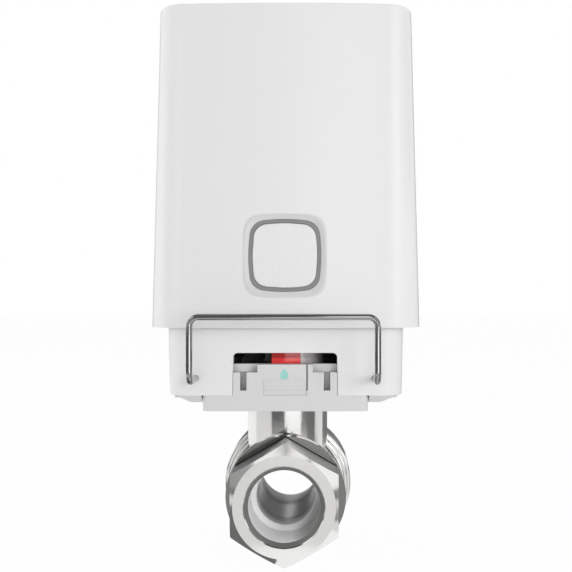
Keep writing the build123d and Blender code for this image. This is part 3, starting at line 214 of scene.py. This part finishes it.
def grain(material, shader, scale, depth, stretch):
    """Fine procedural relief, stretched along an axis for brushed or turned metal."""
    tree = material.node_tree
    place = tree.nodes.new("ShaderNodeTexCoord")
    mapping = tree.nodes.new("ShaderNodeMapping")
    noise = tree.nodes.new("ShaderNodeTexNoise")
    bump = tree.nodes.new("ShaderNodeBump")
    mapping.inputs["Scale"].default_value = stretch
    noise.inputs["Scale"].default_value = scale
    noise.inputs["Detail"].default_value = grain_detail
    bump.inputs["Distance"].default_value = depth
    tree.links.new(place.outputs["Object"], mapping.inputs["Vector"])
    tree.links.new(mapping.outputs["Vector"], noise.inputs["Vector"])
    tree.links.new(noise.outputs["Fac"], bump.inputs["Height"])
    tree.links.new(bump.outputs["Normal"], shader.inputs["Normal"])
    return noise


def vary_roughness(material, shader, noise, roughness, stray):
    """Roughness that follows the same noise as the relief, by a share of itself either way."""
    spread = material.node_tree.nodes.new("ShaderNodeMapRange")
    spread.inputs["To Min"].default_value = roughness * (1.0 - stray)
    spread.inputs["To Max"].default_value = roughness * (1.0 + stray)
    material.node_tree.links.new(noise.outputs["Fac"], spread.inputs["Value"])
    material.node_tree.links.new(spread.outputs["Result"], shader.inputs["Roughness"])


def plastic(name, colour, roughness, coat=0.0):
    """Moulded plastic with a fine satin grain."""
    material, shader = new_material(name)
    shader.inputs["Base Color"].default_value = opaque(colour)
    shader.inputs["Coat Weight"].default_value = coat
    noise = grain(material, shader, plastic_grain, plastic_depth, stretch_none)
    vary_roughness(material, shader, noise, roughness, plastic_stray)
    return material


def metal(name, colour, roughness, stretch=stretch_none):
    """Bare or plated metal, with tool marks where it is stretched."""
    material, shader = new_material(name)
    shader.inputs["Base Color"].default_value = opaque(colour)
    shader.inputs["Metallic"].default_value = 1.0
    noise = grain(material, shader, metal_grain, metal_depth, stretch)
    vary_roughness(material, shader, noise, roughness, metal_stray)
    return material


def calculate(tree, operation, *values):
    """The result of a Math node on sockets or plain numbers."""
    node = tree.nodes.new("ShaderNodeMath")
    node.operation = operation
    for socket, value in zip(node.inputs, values):
        if isinstance(value, float):
            socket.default_value = value
        else:
            tree.links.new(value, socket)
    return node.outputs["Value"]


def between(tree, value, low, high):
    """One where a value lies between two numbers, or else zero."""
    above = calculate(tree, "GREATER_THAN", value, low)
    below = calculate(tree, "LESS_THAN", value, high)
    return calculate(tree, "MULTIPLY", above, below)


def ramp(tree, value, start, end):
    """Zero up to where a value starts, one from where it ends, and an even slope between them."""
    node = tree.nodes.new("ShaderNodeMapRange")
    node.inputs["From Min"].default_value = start
    node.inputs["From Max"].default_value = end
    tree.links.new(value, node.inputs["Value"])
    return node.outputs["Result"]


def blend_socket(tree, name, share, inside):
    """Blends what a socket of the shader has now with a value, by a share from zero to one."""
    socket = tree.nodes["Principled BSDF"].inputs[name]
    mix = tree.nodes.new("ShaderNodeMix")
    kind = "RGBA" if socket.type == "RGBA" else "FLOAT"
    mix.data_type = kind
    first, second, result = mix_sockets[kind]
    if socket.links:
        tree.links.new(socket.links[0].from_socket, mix.inputs[first])
    else:
        mix.inputs[first].default_value = socket.default_value
    mix.inputs[second].default_value = opaque(inside) if kind == "RGBA" else inside
    tree.links.new(share, mix.inputs[0])
    tree.links.new(mix.outputs[result], socket)


def object_place(tree):
    """Object coordinates, apart, in metres."""
    place = tree.nodes.new("ShaderNodeTexCoord")
    apart = tree.nodes.new("ShaderNodeSeparateXYZ")
    tree.links.new(place.outputs["Object"], apart.inputs["Vector"])
    return apart.outputs["X"], apart.outputs["Y"], apart.outputs["Z"]


def zoned(material):
    """A copy of a metal with pale ports, satin flats and an unplated passage, with painted shade in
    the front port and the recess behind the hex, and painted dark reflections on the mouths.
    """
    finished = material.copy()
    finished.name = material.name + "_valve"
    tree = finished.node_tree
    x, y, z = object_place(tree)
    squares = (calculate(tree, "MULTIPLY", x, x), calculate(tree, "MULTIPLY", z, z))
    radius = calculate(tree, "SQRT", calculate(tree, "ADD", *squares))
    front = calculate(tree, "LESS_THAN", y, front_port_end)
    port = calculate(tree, "MULTIPLY", between(tree, radius, *port_zone), front)
    right = calculate(tree, "MULTIPLY", x, math.cos(shade_turn))
    down = calculate(tree, "MULTIPLY", z, math.sin(shade_turn))
    shaded = ramp(tree, calculate(tree, "SUBTRACT", right, down), *shade_reach)
    shade = calculate(tree, "MULTIPLY", port, shaded)
    outside = calculate(tree, "GREATER_THAN", radius, outside_start)
    flats = calculate(tree, "MULTIPLY", outside, between(tree, y, *flats_zone))
    recess = calculate(tree, "MULTIPLY", outside, between(tree, y, *recess_zone))
    mouth = between(tree, radius, *mouth_zone)
    inside = calculate(tree, "LESS_THAN", radius, port_zone[1])
    passage = calculate(tree, "SUBTRACT", inside, port)
    for share, finish in (
        (port, port_finish),
        (shade, shade_finish),
        (flats, flats_finish),
        (recess, recess_shade),
        (mouth, mouth_dark_reflection),
        (passage, passage_finish),
    ):
        for name, value in finish.items():
            blend_socket(tree, name, share, value)
    return finished


def dish_shaded(material, dark):
    """Paints a slightly darker band of shade into the dish round the light ring."""
    tree = material.node_tree
    x, y, z = object_place(tree)
    rise = calculate(tree, "SUBTRACT", z, middle_of("light_ring").z)
    across = calculate(tree, "POWER", calculate(tree, "ABSOLUTE", x), band_power)
    up = calculate(tree, "POWER", calculate(tree, "ABSOLUTE", rise), band_power)
    reach = calculate(tree, "POWER", calculate(tree, "ADD", across, up), 1.0 / band_power)
    near = ramp(tree, reach, band_reach + band_blend, band_reach - band_blend)
    front = calculate(tree, "LESS_THAN", y, band_depth)
    blend_socket(tree, "Base Color", calculate(tree, "MULTIPLY", near, front), dark)
    return material


def groove_shaded(material, dark):
    """Paints shade a little into the grooves and corners, by ambient occlusion."""
    tree = material.node_tree
    corners = tree.nodes.new("ShaderNodeAmbientOcclusion")
    corners.inputs["Distance"].default_value = groove_shade_reach
    groove_shade = ramp(tree, corners.outputs["AO"], groove_shade_from, groove_shade_full)
    blend_socket(tree, "Base Color", groove_shade, dark)
    return material


def edge_shaded_and_glowing(material, dark):
    """Paints shade on the pointer's upper edge, and lifts the pointer by a faint painted glow of its
    colour.
    """
    tree = material.node_tree
    shader = tree.nodes["Principled BSDF"]
    shader.inputs["Emission Color"].default_value = shader.inputs["Base Color"].default_value
    shader.inputs["Emission Strength"].default_value = pointer_glow
    z = object_place(tree)[2]
    upper_shade = ramp(tree, z, pointer_shade_edge - pointer_shade_blend, pointer_shade_edge + pointer_shade_blend)
    blend_socket(tree, "Base Color", upper_shade, dark)
    return material


def sheen_painted(material, pale):
    """Paints a sheen on the drum as a grey patch beside the pointer, which fades away from it."""
    tree = material.node_tree
    x, y = object_place(tree)[:2]
    rise = ramp(tree, x, sheen_start - sheen_blend, sheen_start + sheen_blend)
    fall = ramp(tree, x, sheen_fade[1], sheen_fade[0])
    front = calculate(tree, "LESS_THAN", y, middle_of("coupling_drum").y)
    sheen = calculate(tree, "MULTIPLY", calculate(tree, "MULTIPLY", rise, fall), front)
    blend_socket(tree, "Base Color", sheen, pale)
    return material


def clear(name, colour):
    """Clear moulding, as on a light-emitting diode."""
    material, shader = new_material(name)
    shader.inputs["Base Color"].default_value = opaque(colour)
    shader.inputs["Transmission Weight"].default_value = clear_share
    shader.inputs["Roughness"].default_value = clear_roughness
    return material


def milky(material):
    """Lets light into a plastic, as in the guide round the button."""
    shader = material.node_tree.nodes["Principled BSDF"]
    shader.inputs["Subsurface Weight"].default_value = guide_share
    shader.inputs["Subsurface Scale"].default_value = guide_depth
    return material


def dress(material, *names):
    """Gives a material to CAD nodes, in place of the plain one that they came with."""
    for name in names:
        mesh = nodes[name].data
        mesh.materials.clear()
        mesh.materials.append(material)


# Outer mouldings
cover_white = plastic("cover_white", (0.80, 0.80, 0.803), 0.26, coat=0.15)
base_white = plastic("base_white", (0.815, 0.815, 0.818), 0.34)
platform_grey = plastic("platform_grey", (0.68, 0.68, 0.68), 0.38)
drum_black = plastic("drum_black", (0.012, 0.012, 0.013), 0.16, coat=0.4)
pointer_red = plastic("pointer_red", (1.0, 0.05, 0.05), 0.22, coat=0.5)
# Painted shade in the cover's dish round the light ring
dress(dish_shaded(cover_white, (0.655, 0.655, 0.658)), "cover")
dress(plastic("button_white", (0.80, 0.80, 0.802), 0.28, coat=0.15), "button_cap")
# Painted shade in the grooves and corners of base and platform
dress(groove_shaded(base_white, (0.47, 0.47, 0.47)), "chassis")
dress(groove_shaded(platform_grey, (0.42, 0.42, 0.42)), "mount_platform")
dress(milky(plastic("ring_grey", (0.26, 0.26, 0.265), 0.4)), "light_ring")
# Painted sheen on the drum beside the pointer
dress(sheen_painted(drum_black, (0.85, 0.85, 0.85)), "coupling_drum")
# Painted shade on the pointer's upper edge, and a painted glow
dress(edge_shaded_and_glowing(pointer_red, (0.45, 0.02, 0.02)), "position_pointer")

# Metals
nickel = metal("nickel", (0.86, 0.853, 0.84), 0.15, stretch_pipe)
# The valve body carries painted shade in its front port and recess, and painted dark reflections on
# its mouths
dress(zoned(nickel), "valve_body", "end_cap")
dress(nickel, "gland_nut")
dress(metal("ball_plate", (0.50, 0.50, 0.50), 0.40), "ball")
dress(metal("bracket_wire", (0.38, 0.38, 0.38), 0.10), "locking_bracket")
dress(
    metal("steel", (0.58, 0.58, 0.57), 0.3, stretch_upright),
    "stem",
    "output_shaft",
    "motor_shaft",
    "gear_axles",
    "motor",
)
dress(
    metal("zinc", (0.60, 0.60, 0.62), 0.32),
    "platform_screws",
    "cover_screws",
    "gearbox_screws",
    "board_screws",
)
dress(metal("brass", (0.78, 0.60, 0.33), 0.25, stretch_upright), "output_bushing")
dress(metal("contact_plate", (0.72, 0.69, 0.60), 0.22), "battery_contacts")
dress(metal("shield_tin", (0.66, 0.66, 0.65), 0.25), "radio_module")

# Seats, seals, gears and the rest inside
dress(plastic("seat_grey", (0.38, 0.38, 0.38), 0.35), "front_seat", "rear_seat")
dress(plastic("washer_white", (0.86, 0.86, 0.84), 0.35), "thrust_washer", "stem_packing")
dress(
    plastic("seal_black", (0.02, 0.02, 0.02), 0.55),
    "body_seal",
    "stem_o_rings",
    "cover_gasket",
)
dress(
    plastic("gear_natural", (0.83, 0.80, 0.72), 0.35),
    "output_gear",
    "second_gear",
    "first_gear",
    "motor_pinion",
)
dress(
    plastic("inner_black", (0.03, 0.03, 0.033), 0.4),
    "gearbox_lid",
    "inner_frame",
    "battery_tray",
    "switch_actuator",
)
dress(plastic("board_green", (0.02, 0.16, 0.07), 0.3, coat=0.3), "main_board")
dress(plastic("parts_black", (0.02, 0.02, 0.02), 0.45), "button_switch")
dress(clear("led_clear", (0.9, 0.95, 0.9)), "status_leds")
dress(plastic("cell_wrap", (0.16, 0.2, 0.23), 0.25, coat=0.3), "batteries")


def light_path_mix(tree, first, second):
    """Mixes two closures: the eye, the shine and clear pieces see the second."""
    path = tree.nodes.new("ShaderNodeLightPath")
    eye_or_shine = calculate(
        tree, "MAXIMUM", path.outputs["Is Camera Ray"], path.outputs["Is Glossy Ray"]
    )
    seen = calculate(tree, "MAXIMUM", eye_or_shine, path.outputs["Is Transmission Ray"])
    mix = tree.nodes.new("ShaderNodeMixShader")
    tree.links.new(seen, mix.inputs["Fac"])
    tree.links.new(first, mix.inputs[1])
    tree.links.new(second, mix.inputs[2])
    return mix.outputs["Shader"]


def room():
    """A soft pale room that the eye, the shine and clear pieces see as plain white."""
    world = bpy.data.worlds.new("room")
    bpy.context.scene.world = world
    world.use_nodes = True
    tree = world.node_tree
    soft = tree.nodes["Background"]
    soft.inputs["Color"].default_value = pure_white
    soft.inputs["Strength"].default_value = room_level
    white = tree.nodes.new("ShaderNodeBackground")
    white.inputs["Color"].default_value = pure_white
    seen = light_path_mix(tree, soft.outputs["Background"], white.outputs["Background"])
    tree.links.new(seen, tree.nodes["World Output"].inputs["Surface"])


def floor():
    """A plain pale floor under the valve, which keeps a faint shadow."""
    bpy.ops.mesh.primitive_plane_add(size=2 * floor_half_width, location=(0.0, 0.0, ground))
    plane = bpy.context.object
    plane.name = "floor"
    material, shader = new_material("floor_pale")
    shader.inputs["Base Color"].default_value = opaque((floor_white, floor_white, floor_white))
    shader.inputs["Roughness"].default_value = floor_roughness
    tree = material.node_tree
    glow = tree.nodes.new("ShaderNodeEmission")
    blend = tree.nodes.new("ShaderNodeMixShader")
    blend.inputs["Fac"].default_value = floor_glow
    tree.links.new(shader.outputs["BSDF"], blend.inputs[1])
    tree.links.new(glow.outputs["Emission"], blend.inputs[2])
    seen = light_path_mix(tree, shader.outputs["BSDF"], blend.outputs["Shader"])
    tree.links.new(seen, tree.nodes["Material Output"].inputs["Surface"])
    plane.data.materials.append(material)


def add_object(name, data):
    """A new object in the scene."""
    thing = bpy.data.objects.new(name, data)
    bpy.context.scene.collection.objects.link(thing)
    return thing


def soft_light(name, place, watts):
    """A square soft light aimed at the middle of the object."""
    lamp = bpy.data.lights.new(name, "AREA")
    lamp.energy = watts
    lamp.size = light_width
    thing = add_object(name, lamp)
    thing.location = place
    aim = object_middle - thing.location
    thing.rotation_euler = aim.to_track_quat("-Z", "Y").to_euler()
    thing.visible_glossy = False


def card(name, start, end, brightness, near, far):
    """A card swept round the valve between two (radius, height) edges, seen only in reflections."""
    corners = []
    for step in range(card_faces + 1):
        angle = math.radians(start + (end - start) * step / card_faces)
        for radius, height in (near, far):
            corners.append((radius * math.sin(angle), -radius * math.cos(angle), height))
    faces = [(2 * i, 2 * i + 2, 2 * i + 3, 2 * i + 1) for i in range(card_faces)]
    mesh = bpy.data.meshes.new(name)
    mesh.from_pydata(corners, [], faces)
    thing = add_object(name, mesh)
    material = bpy.data.materials.new(name)
    material.use_nodes = True
    tree = material.node_tree
    glow = tree.nodes.new("ShaderNodeEmission")
    glow.inputs["Strength"].default_value = brightness
    tree.links.new(glow.outputs["Emission"], tree.nodes["Material Output"].inputs["Surface"])
    mesh.materials.append(material)
    thing.visible_camera = False
    thing.visible_diffuse = False
    thing.visible_transmission = False
    thing.visible_shadow = False


def drop_mark():
    """A plain drop printed on the tab in front of the pointer."""
    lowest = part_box("mount_platform")[0]
    middle_x = middle_of("mount_platform").x + drop_shift
    half_width = drop_width / 2 / drop_widest_share
    corners = []
    for point in range(drop_points):
        turn = 2 * math.pi * point / drop_points
        across = half_width * math.sin(turn) * math.sin(turn / 2)
        height = lowest.z + drop_rise + drop_height / 2 * (1 + math.cos(turn))
        corners.append((middle_x + across, lowest.y - drop_lift, height))
    mesh = bpy.data.meshes.new("drop_mark")
    mesh.from_pydata(corners, [], [tuple(range(drop_points))])
    thing = add_object("drop_mark", mesh)
    mesh.materials.append(plastic("mark_teal", (0.33, 0.66, 0.62), 0.3))
    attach(thing, "root")


def camera():
    """The photograph's viewpoint."""
    lens = bpy.data.cameras.new("camera")
    lens.sensor_width = camera_sensor_mm
    lens.lens = camera_lens_mm
    lens.shift_x = camera_shift_x
    lens.shift_y = camera_shift_y
    lens.clip_start = camera_near
    thing = add_object("camera", lens)
    thing.location = camera_place
    thing.rotation_euler = (camera_level, 0.0, 0.0)
    bpy.context.scene.camera = thing


room()
floor()
for name, (place, watts) in lights.items():
    soft_light(name, place, watts)
card_height = ground + card_lift
for name, (start, end, brightness, near, far) in floor_cards.items():
    card(name, start, end, brightness, (near, card_height), (far, card_height))
    card_height += card_step
for name, (start, end, brightness, low, high) in wall_cards.items():
    card(name, start, end, brightness, (card_radius, low), (card_radius, high))
ceiling_edges = ((0.0, ceiling_height), (ceiling_radius, ceiling_height))
card("card_ceiling", 0.0, 360.0, ceiling_brightness, *ceiling_edges)
drop_mark()
camera()

bpy.context.scene.view_settings.view_transform = "Standard"
